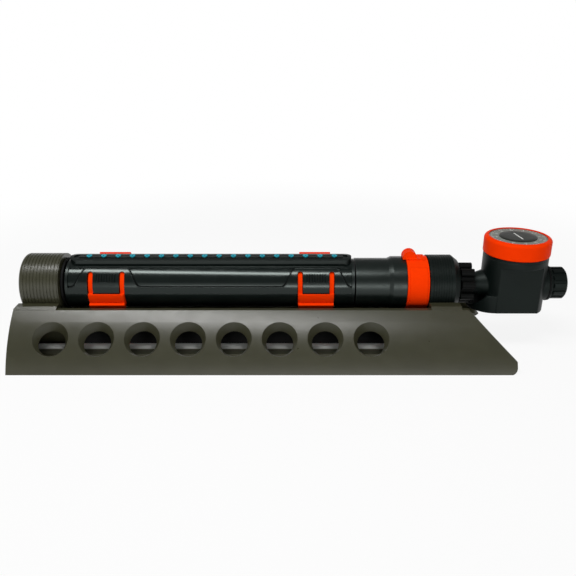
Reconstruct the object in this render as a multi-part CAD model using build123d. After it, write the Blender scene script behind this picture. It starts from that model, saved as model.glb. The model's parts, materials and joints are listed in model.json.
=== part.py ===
"""Oscillating lawn sprinkler with a water timer on its inlet. Millimetres, +Z up, +X to the timer."""
import os
from math import acos, cos, pi, radians, sin, tan

from build123d import *

os.makedirs("parts", exist_ok=True)

# General
ORIGIN_SHIFT = 3.3
AXIS_Z = 66.0
TILT = 6.0
RUN = 0.06
FUSE = 0.3

# Sled base
BASE_LEFT = -288.4
SKID_TOP = 52.0
DECK_TOP = 54.6
BASE_HALF = 90.0
SIDE_R = 126.0
SIDE_CY = 34.07
SIDE_CZ = -49.03
WALL = 3.2
SIDE_IN = 35.0
FLANGE_IN = 60.0
FLANGE_OUT = 79.0
NOSE_TOP_X = 174.5
NOSE_END = 217.5
NOSE_TOE = 11.5
TOE_RUN = 7.0
TOE_SAG = 0.3
HEEL_CHAMFER = 1.5
HOLE_COUNT = 8
HOLE_FIRST_X = -246.3
HOLE_PITCH = 45.7
HOLE_R = 17.75
HOLE_R_IN = 13.5
HOLE_DEPTH = 7.0
HOLE_TILT = 12.0
HOLE_ANGLE = 38.4
COLLAR_WALL = 1.8
DECK_LEFT_END = -245.0
DECK_RIGHT_START = 136.4
DECK_RIGHT_END = 167.5
WEB_IN = 25.0
WEB_OUT = 28.0
KEEL_RIB_Y = 38.0
KEEL_RIB_R = 4.0
KEEL_TOP = 12.5
KEEL_FLOOR = 2.5

# Left bearing
CAP_L_R = 31.5
CAP_L_X0 = -284.6
CAP_L_X1 = -244.0
CAP_L_ROUND = 3.5
RIB_FIRST = 5.5
RIB_PITCH = 3.4
RIB_COUNT = 11
RIB_DEPTH = 0.5
JOURNAL_R = 9.0
JOURNAL_X0 = -264.0
BUSH_R = 13.0
BUSH_X0 = -268.0
BUSH_WALL = 2.5
WIPER_R = 27.0
WIPER_GROOVE_R = 24.5
WIPER_STEP = 1.5
WIPER_GAP = 1.6

# Spray tube
TUBE_X0 = -239.0
TUBE_X1 = 59.3
FLANGE = 2.8
SHELL_R = 25.6
SHELL_RI = 23.7
PIPE_R = 14.0
PIPE_RI = 11.5
PIPE_END = 66.5
PIPE_PLUG = 2.0
RISER_R = 5.0
RISER_BORE = 3.0
RISER_TOP = 24.6
RISER_XS = (-140.0, -89.0, -38.0)
PANEL_R = 24.6
PANEL_LOW = 16.0
PANEL_HIGH = 62.0
ARCH_TOP_Z = 23.6
ARCH_LOW_Z = 6.5
ARCH_HALF_TOP = 19.9
ARCH_HALF_LOW = 36.4
GRIP_GROOVES = 8
GRIP_PITCH = 2.7
GRIP_W = 1.1
GRIP_R = 24.8
GRIP_LOW = 28.0
GRIP_HIGH = 47.0

# Nozzle strip
STRIP_R = 31.0
STRIP_HALF = 18.0
STRIP_WIDTH = 17.0
STRIP_RIM = 3.5
TRAY_R = 29.6
RIDGE_R = 30.8
RIDGE_HALF = 4.2
RIDGE_END = 9.0
CHANNEL_DEPTH = 2.4
CHANNEL_HALF = 9.0
CHANNEL_END = 12.0
NOZZLE_COUNT = 18
NOZZLE_FIRST_X = -216.5
NOZZLE_PITCH = 15.02
NOZZLE_STEM_R = 1.9
NOZZLE_HEAD_R = 2.9
NOZZLE_NECK = 29.2
NOZZLE_TOP = 31.9
NOZZLE_BORE = 0.9
SEAT_GAP = 0.05

# Width sliders
SLIDER_XS = (-196.8, 19.4)
SLIDER_TRAVEL = 45.0
LEG_SPACING = 32.6
LEG_W = 4.6
LEG_R0 = 20.9
LEG_R1 = 23.4
LEG_STEM_R0 = 21.4
BAR_W = 36.4
BAR_R0 = 25.9
BAR_R1 = 28.2
BAR_TOP = 0.0
BAR_LOW = -19.0
GROOVE_R = 27.2
GROOVE_ANGLE = 1.4
LIP_R1 = 31.8
LIP_LOW = -33.0
LIP_ROUND = 1.5
TAB_A0 = 139.0
TAB_A1 = 146.0
TAB_R1 = 35.6
TAB_INSET = 1.5
SLOT_W = 5.6
SLOT_END_GAP = 2.5

# Drive housing
HOUSE_X0 = 60.5
HOUSE_STEP_X = 95.0
HOUSE_STEP_LEN = 4.0
HOUSE_R1 = 26.3
HOUSE_R2 = 28.2
HOUSE_RI = 23.9
HOUSE_WALL = 3.5
NECK_R = 25.6
NECK_X0 = 113.0
NECK_X1 = 150.0
PIPE_GAP = 0.08

# Gear train
MODULE = 0.8
PRESSURE = 25.0
ADDENDUM = 0.8
DEDENDUM = 1.15
BACKLASH = 0.14
WHEEL_T = 20
PINION_T = 10
CENTRE_D = MODULE * (WHEEL_T + PINION_T) / 2
GEAR_W = 5.0
GEAR_GAP = 1.0
MESH_X = tuple(72.0 + i * (GEAR_W + GEAR_GAP) for i in range(4))
PIN_R = 1.5
PIN_SEAT = 0.8
GEAR_HUB_R = 2.6
HUB_R = 6.0
HUB_LENGTH = 8.0
SPOKE_HALF = 1.2
SPOKE_IN = 4.0
SPOKE_OUT = 11.4
PLATE_X0 = 67.3
PLATE_X1 = 70.0
PLATE_BORE = 7.2
MID_PLATE_X0 = 95.7
MID_PLATE_X1 = 97.4
MID_PLATE_BORE = 3.0
PORT_AT = 17.5
PORT_R = 4.0
PORT_STEP = 45.0
JET_X0 = 112.0
JET_X1 = 116.0
JETS = 6
JET_R = 1.8
JET_AT = 16.5
JET_SLANT = 35.0
TURBINE_X0 = 98.0
TURBINE_X1 = 109.0
BLADES = 10
BLADE_R = 18.5
BLADE_IN = 4.0
BLADE_LENGTH = 9.0
BLADE_THICK = 1.4
BLADE_SLANT = 30.0
FLAP_X0 = 116.5
FLAP_X1 = 118.0
FLAP_R = 20.5
FLAP_PORTS = 3
FLAP_PORT_R0 = 11.5
FLAP_PORT_R1 = 19.0
FLAP_PORT_HALF = 32.0
PIN_END = 118.5

# Control ring
RING_X0 = 113.4
RING_X1 = 135.6
RING_R = 29.0
RING_RI = 25.95
RING_TRAVEL = 30.0
PAD_R = 30.0
PAD_LOW = -24.0
PAD_HIGH = 52.0
PAD_INSET = 2.2
CROWN_R = 30.2
CROWN_HALF = 16.0
CROWN_INSET = 3.0
LEVER_X = 117.5
LEVER_R = 7.5
LEVER_TOP = 36.7
LEVER_HALF = 6.0
LEVER_NOTCH_X = 126.5
LEVER_NOTCH_R = 2.4
SLEEVE_R = 23.55
SLEEVE_RI = 21.8
SLEEVE_X0 = 119.0
SLEEVE_X1 = 129.0
LUG_HALF = 5.0
LUG_W = 4.4
LUG_SLOT_W = 5.2
LUG_SLOT_GAP = 1.5

# Inlet cap and union
CAP_R_X0 = 136.4
CAP_R_X1 = 168.0
CAP_R_R = 29.8
CAP_R_TAPER = 6.0
CAP_R_END_R = 25.0
CAP_R_GROOVES = 8
CAP_R_GROOVE_X = 139.4
CAP_R_GROOVE_PITCH = 2.6
CAP_R_GROOVE_W = 0.8
CAP_R_GROOVE_DEPTH = 0.3
INLET_ROOM_R = 20.0
INLET_ROOM_X1 = 159.0
SPIGOT_R = 13.2
SPIGOT_RI = 10.0
SPIGOT_X1 = 177.5
FILTER_GAP = 0.1
FILTER_WALL = 0.9
FILTER_BACK = 0.2
GASKET = 2.0
GASKET_R = 12.5
NUT_X0 = 171.0
NUT_X1 = 184.5
NUT_LOBES = 8
NUT_LOBE_PHASE = 12.0
NUT_CORE_R = 16.2
NUT_LOBE_R = 4.4
NUT_LOBE_AT = 17.1
NUT_LIP = 1.7
NUT_GAP = 0.3
TAIL_R = 10.3
TAIL_FLANGE_R = 12.8
TAIL_FLANGE = 3.0
BELL_X0 = 185.6
BELL_X1 = 204.0
BELL_R = 17.0

# Timer
TIMER_X = 229.0
DRUM_R = 33.0
DRUM_Z1 = 98.0
BODY_Z0 = 41.0
FLAT_Y = 25.0
FLAT_Z1 = 91.0
FORK_X0 = 182.5
FORK_X1 = 200.0
FORK_R = 24.6
FORK_Z1 = 60.0
FORK_ROOM_R = 22.8
CHAMBER_R = 22.4
CHAMBER_Z = 80.0
FLOW_R = 7.0
INLET_R = 18.6
INLET_X1 = 265.8
INLET_GROOVE_X = 262.6
INLET_GROOVE_W = 1.6
INLET_GROOVE_DEPTH = 1.2
STUB_R = 10.3
STUB_X1 = 269.8
COLLAR_R = 12.6
COLLAR_X1 = 271.8
VALVE_ROOM_R = 9.5
VALVE_ROOM_Z0 = 56.0
VALVE_ROOM_Z1 = 78.0
LID_Z1 = 100.0
CLOCK_R = 20.5
CLOCK_Z0 = 86.0
CLOCK_Z1 = 97.0
DIAL_Z0 = 100.4
DIAL_Z1 = 118.0
DIAL_R = 33.9
DIAL_RI = 29.2
DIAL_ROUND_TOP = 3.6
DIAL_ROUND_LOW = 1.2
FACE_Z0 = 111.0
FACE_Z1 = 117.0
SPINDLE_R = 3.0
SPINDLE_Z0 = 88.0
STEM_R = 2.0
STEM_Z0 = 62.0
STEM_Z1 = 83.0
VALVE_R = 7.5
VALVE_Z0 = 60.0
VALVE_Z1 = 62.5
SEAT_Z1 = 57.5
SEAT_BORE = 5.0

# Hose nut
HOSE_X0 = 267.2
HOSE_X1 = 281.8
HOSE_R = 17.0
HOSE_CORE_R = 15.9
HOSE_RIBS = 12
HOSE_RIB_ANGLE = 17.0
HOSE_CHAMFER = 1.4
HOSE_NECK_R = 10.6
HOSE_ROOM_R = 12.95
HOSE_ROOM_X0 = 269.5
HOSE_BORE = 13.2
HOSE_BORE_X0 = 274.3


def polar(r, a):
    """Point (Y, Z) at a radius and an angle from the front horizontal, over the top."""
    return (-r * cos(radians(a)), r * sin(radians(a)))


def cyl(r, x0, x1, y=0.0, z=0.0):
    """Solid cylinder along X."""
    return Pos((x0 + x1) / 2, y, z) * Rot(0, 90, 0) * Cylinder(r, x1 - x0)


def cone(r0, r1, x0, x1):
    """Solid cone along X from radius r0 to r1."""
    return Pos((x0 + x1) / 2, 0, 0) * Rot(0, 90, 0) * Cone(r0, r1, x1 - x0)


def ring(ro, ri, x0, x1):
    """Plain ring along X."""
    return cyl(ro, x0, x1) - cyl(ri, x0 - 1, x1 + 1)


def block(x0, x1, y0, y1, z0, z1):
    """Box between corner coordinates."""
    return Pos((x0 + x1) / 2, (y0 + y1) / 2, (z0 + z1) / 2) * Box(x1 - x0, y1 - y0, z1 - z0)


def side_block(sign, x0, x1, y0, y1, z0, z1):
    """Box on the front (sign -1) or rear (sign 1) side of the middle plane."""
    low, high = sorted((sign * y0, sign * y1))
    return block(x0, x1, low, high, z0, z1)


def sector(r0, r1, a0, a1, x0, x1):
    """Ring sector about X between two angles."""
    mid = (a0 + a1) / 2
    edges = [
        ThreePointArc(polar(r1, a0), polar(r1, mid), polar(r1, a1)),
        Line(polar(r1, a1), polar(r0, a1)),
        ThreePointArc(polar(r0, a1), polar(r0, mid), polar(r0, a0)),
        Line(polar(r0, a0), polar(r1, a0)),
    ]
    return extrude(Plane.YZ.offset(x0) * make_face(Wire(edges)), x1 - x0)


def disc(r, z0, z1, ri=0.0):
    """Upright disc or ring on the timer's dial axis."""
    body = Pos(TIMER_X, 0, (z0 + z1) / 2) * Cylinder(r, z1 - z0)
    if ri:
        body = body - Pos(TIMER_X, 0, (z0 + z1) / 2) * Cylinder(ri, z1 - z0 + 2)
    return body


def on_axis(shape):
    """Moves a shape built about the origin to the tube axis."""
    return Pos(0, 0, AXIS_Z) * shape


def on_tube(shape):
    """Places a piece of the spray tube, tipped to its rest angle."""
    return Pos(0, 0, AXIS_Z) * Rot(TILT, 0, 0) * shape


def save(name, *shapes):
    """Writes one node, made of one or more solids, about the middle of the whole sprinkler."""
    solids = [s for shape in shapes for s in (Pos(ORIGIN_SHIFT, 0, 0) * shape).solids()]
    export_step(solids[0] if len(solids) == 1 else Compound(children=solids), f"parts/{name}.step")


def gear(teeth, x0, x1, bore):
    """Involute spur gear about X with a tooth centred on +Y."""
    r_pitch = MODULE * teeth / 2
    r_base = r_pitch * cos(radians(PRESSURE))
    r_tip = r_pitch + ADDENDUM * MODULE
    r_root = r_pitch - DEDENDUM * MODULE
    half = pi / (2 * teeth) - BACKLASH / (2 * r_pitch)
    a_pitch = radians(PRESSURE)

    def half_at(r):
        a = acos(min(1.0, r_base / r))
        return half + (tan(a_pitch) - a_pitch) - (tan(a) - a)

    radii = [r_root, r_base] + [r_base + (r_tip - r_base) * k / 3 for k in (1, 2, 3)]
    points = []
    for i in range(teeth):
        centre = 2 * pi * i / teeth
        flank = [(r, centre - half_at(max(r, r_base))) for r in radii]
        back = [(r, 2 * centre - a) for r, a in reversed(flank)]
        points += [(r * cos(a), r * sin(a)) for r, a in flank + back]
    face = make_face(Polyline(*points, close=True))
    return extrude(Plane.YZ.offset(x0) * face, x1 - x0) - cyl(bore, x0 - 1, x1 + 1)


def across(face):
    """Extrudes a face drawn in X and Z over the whole width of the base."""
    return Pos(0, BASE_HALF, 0) * extrude(Plane.XZ * face, 2 * BASE_HALF)


def nose_cut():
    """Everything beyond the sloping nose and its rounded toe."""
    run = NOSE_TOP_X - NOSE_END
    rise = SKID_TOP - NOSE_TOE
    top = (NOSE_END + 2 * run, NOSE_TOE + 2 * rise)
    toe_low = (NOSE_END - TOE_RUN, -TOE_SAG)
    toe_mid = (NOSE_END - TOE_RUN * 0.27, TOE_RUN * 0.27)
    far = (NOSE_END + BASE_HALF, -TOE_SAG)
    edges = [
        Line(top, (NOSE_END, NOSE_TOE)),
        Line((NOSE_END, NOSE_TOE), (NOSE_END, TOE_RUN)),
        ThreePointArc((NOSE_END, TOE_RUN), toe_mid, toe_low),
        Line(toe_low, far),
        Line(far, (far[0], top[1])),
        Line((far[0], top[1]), top),
    ]
    return across(make_face(Wire(edges)))


def heel_cut():
    """Wedge taken off the upper edge of the left end."""
    reach = HEEL_CHAMFER + 1
    wedge = make_face(Polyline(
        (BASE_LEFT - 1, DECK_TOP - reach),
        (BASE_LEFT + reach, DECK_TOP + 1),
        (BASE_LEFT - 1, DECK_TOP + 1),
        close=True,
    ))
    return across(wedge)


def side_disc(sign, r):
    """Long cylinder along X whose surface is one curved side of the base."""
    return cyl(r, BASE_LEFT, NOSE_END, -sign * SIDE_CY, SIDE_CZ)


def hole_frame(sign, x):
    """Frame of one side hole on the outer face, Z outwards and tipped up from the face's normal."""
    a = radians(HOLE_ANGLE)
    tipped = radians(HOLE_ANGLE + HOLE_TILT)
    y = sign * (-SIDE_CY + SIDE_R * cos(a))
    z = SIDE_CZ + SIDE_R * sin(a)
    return Plane(origin=(x, y, z), x_dir=(1, 0, 0), z_dir=(0, sign * cos(tipped), sin(tipped)))


def side_hole(grow, above, depth):
    """Tapered funnel of a side hole from a height above the face to a depth below it."""
    slope = (HOLE_R - HOLE_R_IN) / HOLE_DEPTH
    top = HOLE_R + grow + slope * above
    low = HOLE_R + grow - slope * depth
    return Pos(0, 0, (above - depth) / 2) * Cone(low, top, above + depth)


def skid(sign):
    """One curved side of the sled with its flange and funnel-shaped round holes."""
    keep = side_block(sign, BASE_LEFT, NOSE_END, SIDE_IN, BASE_HALF, 0, SKID_TOP)
    body = (side_disc(sign, SIDE_R) - side_disc(sign, SIDE_R - WALL)) & keep
    body = body + side_block(sign, BASE_LEFT, NOSE_END, FLANGE_IN, FLANGE_OUT, 0, WALL)
    limit = side_disc(sign, SIDE_R - WALL / 2)
    collar = side_hole(COLLAR_WALL, HOLE_DEPTH, HOLE_DEPTH)
    funnel = side_hole(0, HOLE_DEPTH, HOLE_DEPTH + WALL)
    xs = [HOLE_FIRST_X + i * HOLE_PITCH for i in range(HOLE_COUNT)]
    for x in xs:
        body = body + (hole_frame(sign, x) * collar & limit)
    for x in xs:
        body = body - hole_frame(sign, x) * funnel
    return body - nose_cut()


def core(x0, x1, z0, z1):
    """Block that fills the base between the inner faces of its two sides, above their flanges."""
    room = block(x0, x1, -BASE_HALF, BASE_HALF, z0, z1)
    for sign in (1, -1):
        room = room - side_block(sign, x0, x1, FLANGE_IN, BASE_HALF, 0, WALL)
        room = room & side_disc(sign, SIDE_R - WALL)
    return room


def end_frame(x0, x1, wall_x0, cap_r):
    """Box-like end of the base: deck over both sides, end wall, floor, two webs and the saddle of a cap."""
    lid = block(x0, x1, -BASE_HALF, BASE_HALF, SKID_TOP, DECK_TOP)
    for sign in (1, -1):
        lid = lid & side_disc(sign, SIDE_R)
    body = lid + core(x0, x1, SKID_TOP - WALL, SKID_TOP) + core(wall_x0, wall_x0 + WALL, 0, SKID_TOP)
    body = body + block(x0, x1, -FLANGE_IN, FLANGE_IN, 0, KEEL_FLOOR)
    for sign in (1, -1):
        body = body + side_block(sign, x0, x1, WEB_IN, WEB_OUT, 0, SKID_TOP - WALL)
    saddle = on_axis(ring(cap_r + WALL, cap_r, x0, x1))
    body = body + (saddle & block(x0, x1, -WEB_OUT, WEB_OUT, 0, DECK_TOP))
    return body - on_axis(cyl(cap_r, x0 - 1, x1 + 1))


def left_pedestal():
    """Left end wall, deck and saddle under the bearing cap."""
    x0, x1 = BASE_LEFT, DECK_LEFT_END
    return end_frame(x0, x1, x0, CAP_L_R) - heel_cut()


def right_pedestal():
    """Right end wall, deck and saddle under the inlet cap."""
    x0, x1 = DECK_RIGHT_START, DECK_RIGHT_END
    return end_frame(x0, x1, x1 - WALL, CAP_R_R)


def keel():
    """Low floor with two round-topped ribs that ties the ends of the base together."""
    x0, x1 = DECK_LEFT_END, DECK_RIGHT_START
    body = block(x0, x1, -FLANGE_IN, FLANGE_IN, 0, KEEL_FLOOR)
    for y in (KEEL_RIB_Y, -KEEL_RIB_Y):
        body = body + block(x0, x1, y - KEEL_RIB_R, y + KEEL_RIB_R, 0, KEEL_TOP - KEEL_RIB_R)
        body = body + cyl(KEEL_RIB_R, x0, x1, y, KEEL_TOP - KEEL_RIB_R)
    return body


def left_cap():
    """Ribbed bearing cap at the left end with a blind bearing pocket and a rounded rim."""
    body = cyl(CAP_L_R, CAP_L_X0, CAP_L_X1)
    body = fillet(body.edges().sort_by(Axis.X)[0], CAP_L_ROUND)
    for i in range(RIB_COUNT):
        x = CAP_L_X0 + RIB_FIRST + i * RIB_PITCH
        body = body - ring(CAP_L_R + 1, CAP_L_R - RIB_DEPTH, x - RIB_DEPTH, x + RIB_DEPTH)
    pocket = cyl(CAP_L_R - WALL, CAP_L_X0 + WALL, CAP_L_X1 - WALL)
    boss = cyl(BUSH_R + BUSH_WALL, CAP_L_X0 + 1, CAP_L_X1)
    return body - (pocket - boss) - cyl(BUSH_R, BUSH_X0, CAP_L_X1 + 1)


def wiper():
    """Stepped sealing ring between the left cap and the tube."""
    body = cyl(WIPER_GROOVE_R, CAP_L_X1, CAP_L_X1 + WIPER_STEP)
    body = body + cyl(WIPER_R, CAP_L_X1 + WIPER_STEP, TUBE_X0 - WIPER_GAP)
    return body - cyl(JOURNAL_R + RUN, CAP_L_X1 - 1, TUBE_X0)


def water_pipe():
    """Inner pressure pipe with end flanges, journals and risers."""
    body = cyl(PIPE_R, TUBE_X0, PIPE_END) + cyl(JOURNAL_R, JOURNAL_X0, TUBE_X0)
    body = body + cyl(SHELL_R, TUBE_X0, TUBE_X0 + FLANGE) + cyl(SHELL_R, TUBE_X1 - FLANGE, TUBE_X1)
    for x in RISER_XS:
        body = body + Pos(x, 0, (PIPE_RI + RISER_TOP) / 2) * Cylinder(RISER_R, RISER_TOP - PIPE_RI)
    body = body - cyl(PIPE_RI, TUBE_X0 + FLANGE + PIPE_PLUG, PIPE_END + 1)
    for x in RISER_XS:
        body = body - Pos(x, 0, RISER_TOP) * Cylinder(RISER_BORE, RISER_TOP)
    return body


def leg_xs(centre):
    """Stations of a slider's two legs."""
    return (centre - LEG_SPACING / 2, centre + LEG_SPACING / 2)


def shell_slots():
    """Slots with rounded tops in the shells, through which the sliders' grips stand out."""
    front_low = LIP_LOW - SLOT_END_GAP
    front_high = BAR_TOP + SLIDER_TRAVEL + SLOT_END_GAP
    rear_low = TAB_A0 - SLOT_END_GAP
    rear_high = TAB_A1 + SLIDER_TRAVEL + SLOT_END_GAP
    end = Rot(90, 0, 0) * Cylinder(SLOT_W / 2, SHELL_R - SHELL_RI + 2)
    cuts = []
    for centre in SLIDER_XS:
        for x in leg_xs(centre):
            for low, high in ((front_low, front_high), (rear_low, rear_high)):
                cuts.append(sector(SHELL_RI - 1, SHELL_R + 1, low, high, x - SLOT_W / 2, x + SLOT_W / 2))
            cuts.append(Rot(-front_high, 0, 0) * Pos(x, -(SHELL_R + SHELL_RI) / 2, 0) * end)
    return cuts


def panel_arch(centre):
    """Full-height part of the flank over one slider, with sides that sweep up in an S."""
    left_low = (centre - ARCH_HALF_LOW, ARCH_LOW_Z)
    left_top = (centre - ARCH_HALF_TOP, ARCH_TOP_Z)
    right_top = (centre + ARCH_HALF_TOP, ARCH_TOP_Z)
    right_low = (centre + ARCH_HALF_LOW, ARCH_LOW_Z)
    bend = (ARCH_HALF_LOW + ARCH_HALF_TOP) / 2
    edges = [
        Bezier(left_low, (centre - bend, ARCH_LOW_Z), (centre - bend, ARCH_TOP_Z), left_top),
        Line(left_top, right_top),
        Bezier(right_top, (centre + bend, ARCH_TOP_Z), (centre + bend, ARCH_LOW_Z), right_low),
        Line(right_low, left_low),
    ]
    return Pos(0, STRIP_R, 0) * extrude(Plane.XZ * make_face(Wire(edges)), 2 * STRIP_R)


def side_panels():
    """Recessed panels along both flanks of the upper shell, as solids to take away."""
    x0, x1 = TUBE_X0 + FLANGE - 1, TUBE_X1 - FLANGE + 1
    sides = []
    for low, high in ((PANEL_LOW, PANEL_HIGH), (180 - PANEL_HIGH, 180 - PANEL_LOW)):
        side = sector(PANEL_R, SHELL_R + 1, low, high, x0, x1)
        for centre in SLIDER_XS:
            side = side - panel_arch(centre)
        sides.append(side)
    return sides


def grip_grooves():
    """Short finger grooves between the legs of each slider, as solids to take away."""
    grooves = []
    for centre in SLIDER_XS:
        for i in range(GRIP_GROOVES):
            x = centre + (i - (GRIP_GROOVES - 1) / 2) * GRIP_PITCH
            grooves.append(sector(GRIP_R, SHELL_R + 1, GRIP_LOW, GRIP_HIGH, x - GRIP_W / 2, x + GRIP_W / 2))
    return grooves


def half_shell(a0, a1, cuts):
    """Half of the tube's outer shell with the slots and any further cuts."""
    body = sector(SHELL_RI, SHELL_R, a0, a1, TUBE_X0 + FLANGE, TUBE_X1 - FLANGE)
    for cut in shell_slots() + cuts:
        body = body - cut
    return body


def upper_shell():
    """Upper half shell with recessed panels, finger grooves, the slots and the riser holes."""
    body = half_shell(0.0, 180.0, side_panels() + grip_grooves())
    for x in RISER_XS:
        body = body - Pos(x, 0, SHELL_R) * Cylinder(RISER_R + 2 * RUN, SHELL_R / 2)
    return body


def strip_plan(inset):
    """Plan of the strip with round ends, as a tall solid."""
    x0, x1 = TUBE_X0 + FLANGE, TUBE_X1 - FLANGE
    plan = SlotOverall(x1 - x0 - 2 * inset, STRIP_WIDTH - 2 * inset)
    return extrude(Pos((x0 + x1) / 2, 0) * plan, 2 * STRIP_R)


def nozzle_core(grow):
    """Stem and flared head of a nozzle, with an allowance all round."""
    base = SHELL_R + CHANNEL_DEPTH - grow
    stem = Pos(0, 0, (base + NOZZLE_NECK) / 2) * Cylinder(NOZZLE_STEM_R + grow, NOZZLE_NECK - base)
    head = Cone(NOZZLE_STEM_R + grow, NOZZLE_HEAD_R + grow, NOZZLE_TOP - NOZZLE_NECK)
    return stem + Pos(0, 0, (NOZZLE_NECK + NOZZLE_TOP) / 2) * head


def nozzle_xs():
    """Stations of the nozzles."""
    return [NOZZLE_FIRST_X + i * NOZZLE_PITCH for i in range(NOZZLE_COUNT)]


def nozzle_strip():
    """Raised strip along the crown: a rim, a groove, a middle ridge with the seats and the channel below."""
    x0, x1 = TUBE_X0 + FLANGE, TUBE_X1 - FLANGE
    low, high = 90 - STRIP_HALF, 90 + STRIP_HALF
    body = sector(SHELL_R, STRIP_R, low, high, x0, x1) & strip_plan(0)
    body = body - (sector(TRAY_R, STRIP_R + 1, low, high, x0, x1) & strip_plan(STRIP_RIM))
    ridge_low, ridge_high = 90 - RIDGE_HALF, 90 + RIDGE_HALF
    body = body + sector(TRAY_R - 1, RIDGE_R, ridge_low, ridge_high, x0 + RIDGE_END, x1 - RIDGE_END)
    low, high = 90 - CHANNEL_HALF, 90 + CHANNEL_HALF
    body = body - sector(SHELL_R - 1, SHELL_R + CHANNEL_DEPTH, low, high, x0 + CHANNEL_END, x1 - CHANNEL_END)
    for x in nozzle_xs():
        body = body - Pos(x, 0, 0) * nozzle_core(SEAT_GAP)
    return body


def nozzles():
    """Soft spray nozzles, one in each seat."""
    one = nozzle_core(0) - Pos(0, 0, STRIP_R) * Cylinder(NOZZLE_BORE, STRIP_R)
    return [on_tube(Pos(x, 0, 0) * one) for x in nozzle_xs()]


def slider(centre):
    """Width slider: two curved legs under the crown with a front grip and a rear thumb tab."""
    x0, x1 = centre - BAR_W / 2, centre + BAR_W / 2
    lip = sector(BAR_R0, LIP_R1, LIP_LOW, BAR_LOW - GROOVE_ANGLE, x0, x1)
    lip = fillet(lip.edges().filter_by(Axis.X).group_by(Axis.Y)[0], LIP_ROUND)
    body = sector(BAR_R0, BAR_R1, BAR_LOW, BAR_TOP, x0, x1) + lip
    body = body + sector(BAR_R0, GROOVE_R, BAR_LOW - GROOVE_ANGLE, BAR_LOW, x0, x1)
    body = body + sector(BAR_R0, TAB_R1, TAB_A0, TAB_A1, x0 + TAB_INSET, x1 - TAB_INSET)
    for x in leg_xs(centre):
        low, high = x - LEG_W / 2, x + LEG_W / 2
        body = body + sector(LEG_R0, LEG_R1, LIP_LOW, TAB_A1, low, high)
        body = body + sector(LEG_STEM_R0, BAR_R0 + FUSE, LIP_LOW, BAR_TOP, low, high)
        body = body + sector(LEG_STEM_R0, BAR_R0 + FUSE, TAB_A0, TAB_A1, low, high)
    return body


def drive_housing():
    """Round housing of the water drive with a neck for the control ring."""
    step_end = HOUSE_STEP_X + HOUSE_STEP_LEN
    body = cyl(HOUSE_R1, HOUSE_X0, HOUSE_STEP_X) + cone(HOUSE_R1, HOUSE_R2, HOUSE_STEP_X, step_end)
    body = body + cyl(HOUSE_R2, step_end, NECK_X0) + cyl(NECK_R, NECK_X0, NECK_X1)
    body = body - cyl(HOUSE_RI, HOUSE_X0 + HOUSE_WALL, NECK_X1 + 1)
    body = body - cyl(PIPE_R + PIPE_GAP, HOUSE_X0 - 1, HOUSE_X0 + HOUSE_WALL + 1)
    mid = (SLEEVE_X0 + SLEEVE_X1) / 2
    half = LUG_HALF + RING_TRAVEL + LUG_SLOT_GAP
    x0, x1 = mid - LUG_SLOT_W / 2, mid + LUG_SLOT_W / 2
    return body - sector(HOUSE_RI - 1, NECK_R + 1, 270 - half, 270 + half, x0, x1)


def ported_plate(x0, x1, bore, pin_x0):
    """Round bearing plate with a middle bore, the seat of the lay pin and water ports."""
    body = cyl(HOUSE_RI, x0, x1) - cyl(bore, x0 - 1, x1 + 1)
    body = body - cyl(PIN_R, pin_x0, x1 + 1, 0, CENTRE_D)
    for i in range(1, int(360 / PORT_STEP)):
        y, z = polar(PORT_AT, 90 + i * PORT_STEP)
        body = body - cyl(PORT_R, x0 - 1, x1 + 1, y, z)
    return body


def jet_plate():
    """Plate with slanting jets that drive the turbine; it carries the main gear pin."""
    body = cyl(HOUSE_RI, JET_X0, JET_X1) - cyl(PIN_R, JET_X0 - 1, JET_X1 + 1)
    jet = Rot(0, 0, JET_SLANT) * Rot(0, 90, 0) * Cylinder(JET_R, HOUSE_RI)
    jet = Pos((JET_X0 + JET_X1) / 2, 0, JET_AT) * jet
    for i in range(JETS):
        body = body - Rot((i + 0.5) * 360 / JETS, 0, 0) * jet
    return body


def reverser_flap():
    """Ported flap that swings on the main pin and turns the jets to one side or the other."""
    body = ring(FLAP_R, PIN_R + RUN, FLAP_X0, FLAP_X1)
    for i in range(FLAP_PORTS):
        a = 90 + i * 360 / FLAP_PORTS
        low, high = a - FLAP_PORT_HALF, a + FLAP_PORT_HALF
        body = body - sector(FLAP_PORT_R0, FLAP_PORT_R1, low, high, FLAP_X0 - 1, FLAP_X1 + 1)
    return body


def gear_pins():
    """Main pin and lay pin."""
    main = cyl(PIN_R, MESH_X[0] - HUB_LENGTH / 2, PIN_END)
    lay = cyl(PIN_R, PLATE_X0 + PIN_SEAT, MID_PLATE_X1, 0, CENTRE_D)
    return [on_axis(main), on_axis(lay)]


def compound_gear(first_x):
    """Pinion and wheel side by side on one hub."""
    second_x = first_x + GEAR_W + GEAR_GAP
    bore = PIN_R + RUN
    body = ring(GEAR_HUB_R, bore, first_x, second_x + GEAR_W)
    body = body + gear(PINION_T, first_x, first_x + GEAR_W, bore)
    return body + gear(WHEEL_T, second_x, second_x + GEAR_W, bore)


def output_gear():
    """Last wheel of the train, held in the pipe by three spokes."""
    bore = PIN_R + RUN
    hub_x0 = PIPE_END - HUB_LENGTH
    body = gear(WHEEL_T, MESH_X[0], MESH_X[0] + GEAR_W, bore) + cyl(HUB_R, hub_x0, MESH_X[0] + FUSE)
    spoke = block(hub_x0, PIPE_END - 1, -SPOKE_HALF, SPOKE_HALF, SPOKE_IN, SPOKE_OUT)
    for i in range(3):
        body = body + Rot(60 + i * 120, 0, 0) * spoke
    return body - cyl(bore, MESH_X[0] - HUB_LENGTH / 2 - FUSE, MESH_X[0] + GEAR_W + 1)


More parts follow.
